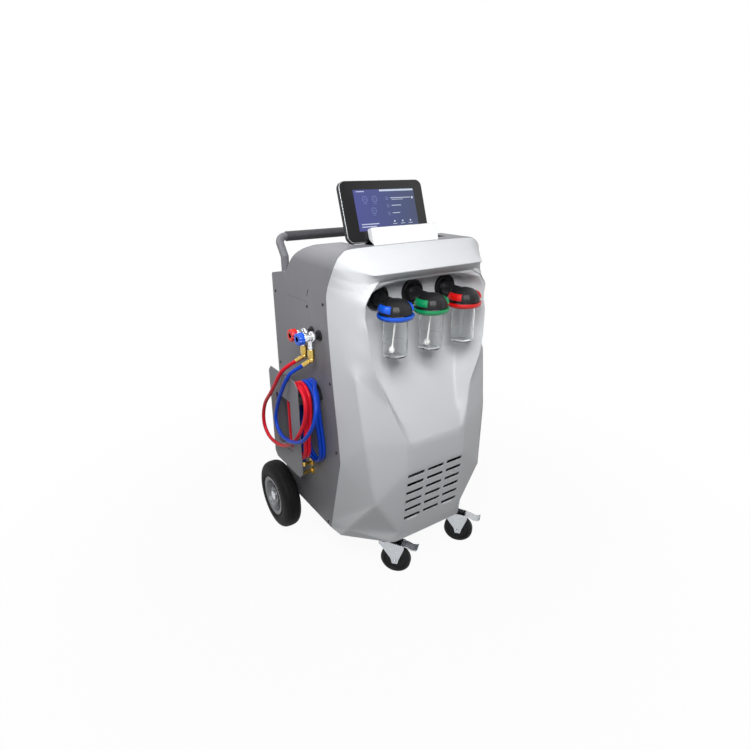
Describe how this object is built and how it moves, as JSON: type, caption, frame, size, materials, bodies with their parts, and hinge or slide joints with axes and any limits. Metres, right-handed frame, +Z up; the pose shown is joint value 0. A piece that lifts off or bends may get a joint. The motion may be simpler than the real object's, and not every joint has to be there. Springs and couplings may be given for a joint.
{
  "type": "refrigerant recovery machine",
  "caption": "Wheeled air-conditioning service station: moulded front with a bottle bay, sheet-metal cabinet, tool tray, tablet holder, hung service hoses, push handle, rear wheels and casters.",
  "frame": {"origin": "floor level, in the middle of the footprint without the service hoses", "axes": "+Z up; the front with the bottle bay faces -Y; +X is the right side for someone looking at the front, and the hoses hang on the -X side"},
  "size_m": [0.7239, 0.647, 1.216],
  "materials": {
    "sheet_grey": "satin powder coat",
    "shell_plastic": "fine moulded grain",
    "black_plastic": "satin",
    "zinc_steel": "bright zinc plate",
    "base_steel": "satin",
    "tyre_rubber": "matte",
    "rim_silver": "silver paint",
    "caster_rubber": "matte",
    "grip_rubber": "matte",
    "holder_white": "gloss",
    "tablet_black": "gloss with a glass front",
    "clear_jar": "clear, slightly frosted",
    "blue_gloss": "gloss",
    "green_gloss": "gloss",
    "red_gloss": "gloss",
    "coupler_chrome": "polished",
    "red_hose": "smooth satin",
    "blue_hose": "smooth satin",
    "tank_paint": "satin",
    "compressor_paint": "satin",
    "pump_aluminium": "cast and machined"
  },
  "bodies": {
    "cabinet": {"base_tray": "base_steel", "rear_axle": "zinc_steel", "axle_caps": "zinc_steel", "caster_mounts": "zinc_steel", "hood": "sheet_grey", "left_rear_sheet": "sheet_grey", "right_rear_sheet": "sheet_grey", "rear_panel": "sheet_grey", "rear_deck": "sheet_grey", "tool_tray": "black_plastic", "front_shell": "shell_plastic", "panel_screws": "black_plastic", "push_handle": "sheet_grey", "handle_grip": "grip_rubber", "tablet_holder": "holder_white", "bottle_docks": "black_plastic", "hose_hanger": "sheet_grey", "coupler_parks": "black_plastic", "red_coupler": "coupler_chrome", "blue_coupler": "coupler_chrome", "red_hose": "red_hose", "red_hank": "red_hose", "blue_hose": "blue_hose", "blue_hank": "blue_hose", "hose_ports": "coupler_chrome", "mains_inlet": "black_plastic", "refrigerant_tank": "tank_paint", "tank_scale": "pump_aluminium", "compressor": "compressor_paint", "vacuum_pump": "pump_aluminium", "condenser": "pump_aluminium", "valve_block": "pump_aluminium"},
    "left_wheel": {"left_tyre": "tyre_rubber", "left_rim": "rim_silver"},
    "right_wheel": {"right_tyre": "tyre_rubber", "right_rim": "rim_silver"},
    "tablet": {"tablet": "tablet_black"},
    "red_knob": {"red_knob": "red_gloss"},
    "blue_knob": {"blue_knob": "blue_gloss"},
    "mains_rocker": {"mains_rocker": "black_plastic"},
    "condenser_fan": {"condenser_fan": "black_plastic"},
    "left_caster": {"left_caster_fork": "zinc_steel"},
    "left_caster_wheel": {"left_caster_wheel": "caster_rubber"},
    "left_caster_pedal": {"left_caster_pedal": "zinc_steel"},
    "right_caster": {"right_caster_fork": "zinc_steel"},
    "right_caster_wheel": {"right_caster_wheel": "caster_rubber"},
    "right_caster_pedal": {"right_caster_pedal": "zinc_steel"},
    "blue_bottle": {"blue_jar": "clear_jar", "blue_collar": "blue_gloss", "blue_cap": "black_plastic"},
    "blue_latch": {"blue_latch": "blue_gloss"},
    "green_bottle": {"green_jar": "clear_jar", "green_collar": "green_gloss", "green_cap": "black_plastic"},
    "green_latch": {"green_latch": "green_gloss"},
    "red_bottle": {"red_jar": "clear_jar", "red_collar": "red_gloss", "red_cap": "black_plastic"},
    "red_latch": {"red_latch": "red_gloss"}
  },
  "joints": [
    {"name": "left_wheel_spin", "type": "hinge", "parent": "cabinet", "child": "left_wheel", "pos_m": [-0.316, 0.19851, 0.125], "axis": [1, 0, 0], "continuous": true},
    {"name": "right_wheel_spin", "type": "hinge", "parent": "cabinet", "child": "right_wheel", "pos_m": [0.316, 0.19851, 0.125], "axis": [1, 0, 0], "continuous": true},
    {"name": "left_caster_swivel", "type": "hinge", "parent": "cabinet", "child": "left_caster", "pos_m": [-0.138, -0.23049, 0.115], "axis": [0, 0, 1], "continuous": true},
    {"name": "left_caster_spin", "type": "hinge", "parent": "left_caster", "child": "left_caster_wheel", "pos_m": [-0.11614, -0.25654, 0.05], "axis": [0.766, 0.6428, 0], "continuous": true},
    {"name": "left_caster_brake", "type": "hinge", "parent": "left_caster", "child": "left_caster_pedal", "pos_m": [-0.10072, -0.27492, 0.106], "axis": [0.766, 0.6428, 0], "range_deg": [0, 12]},
    {"name": "right_caster_swivel", "type": "hinge", "parent": "cabinet", "child": "right_caster", "pos_m": [0.138, -0.23049, 0.115], "axis": [0, 0, 1], "continuous": true},
    {"name": "right_caster_spin", "type": "hinge", "parent": "right_caster", "child": "right_caster_wheel", "pos_m": [0.15985, -0.25654, 0.05], "axis": [0.766, 0.6428, 0], "continuous": true},
    {"name": "right_caster_brake", "type": "hinge", "parent": "right_caster", "child": "right_caster_pedal", "pos_m": [0.17528, -0.27492, 0.106], "axis": [0.766, 0.6428, 0], "range_deg": [0, 12]},
    {"name": "blue_bottle_pull", "type": "slide", "parent": "cabinet", "child": "blue_bottle", "axis": [0, -1, 0], "range_m": [0, 0.06]},
    {"name": "blue_latch_press", "type": "slide", "parent": "blue_bottle", "child": "blue_latch", "axis": [0, 0, -1], "range_m": [0, 0.003], "stiffness_N_per_m": 800, "springref_m": -0.004},
    {"name": "green_bottle_pull", "type": "slide", "parent": "cabinet", "child": "green_bottle", "axis": [0, -1, 0], "range_m": [0, 0.06]},
    {"name": "green_latch_press", "type": "slide", "parent": "green_bottle", "child": "green_latch", "axis": [0, 0, -1], "range_m": [0, 0.003], "stiffness_N_per_m": 800, "springref_m": -0.004},
    {"name": "red_bottle_pull", "type": "slide", "parent": "cabinet", "child": "red_bottle", "axis": [0, -1, 0], "range_m": [0, 0.06]},
    {"name": "red_latch_press", "type": "slide", "parent": "red_bottle", "child": "red_latch", "axis": [0, 0, -1], "range_m": [0, 0.003], "stiffness_N_per_m": 800, "springref_m": -0.004},
    {"name": "tablet_lift", "type": "slide", "parent": "cabinet", "child": "tablet", "axis": [0, 0.309, 0.9511], "range_m": [0, 0.06]},
    {"name": "red_valve_turn", "type": "hinge", "parent": "cabinet", "child": "red_knob", "pos_m": [-0.325, -0.02649, 0.796], "axis": [1, 0, 0], "range_deg": [0, 720]},
    {"name": "blue_valve_turn", "type": "hinge", "parent": "cabinet", "child": "blue_knob", "pos_m": [-0.325, -0.07249, 0.796], "axis": [1, 0, 0], "range_deg": [0, 720]},
    {"name": "mains_switch", "type": "hinge", "parent": "cabinet", "child": "mains_rocker", "pos_m": [-0.154, 0.24051, 0.21], "axis": [1, 0, 0], "range_deg": [0, 20]},
    {"name": "fan_spin", "type": "hinge", "parent": "cabinet", "child": "condenser_fan", "pos_m": [0, -0.14249, 0.283], "axis": [0, 1, 0], "continuous": true}
  ]
}
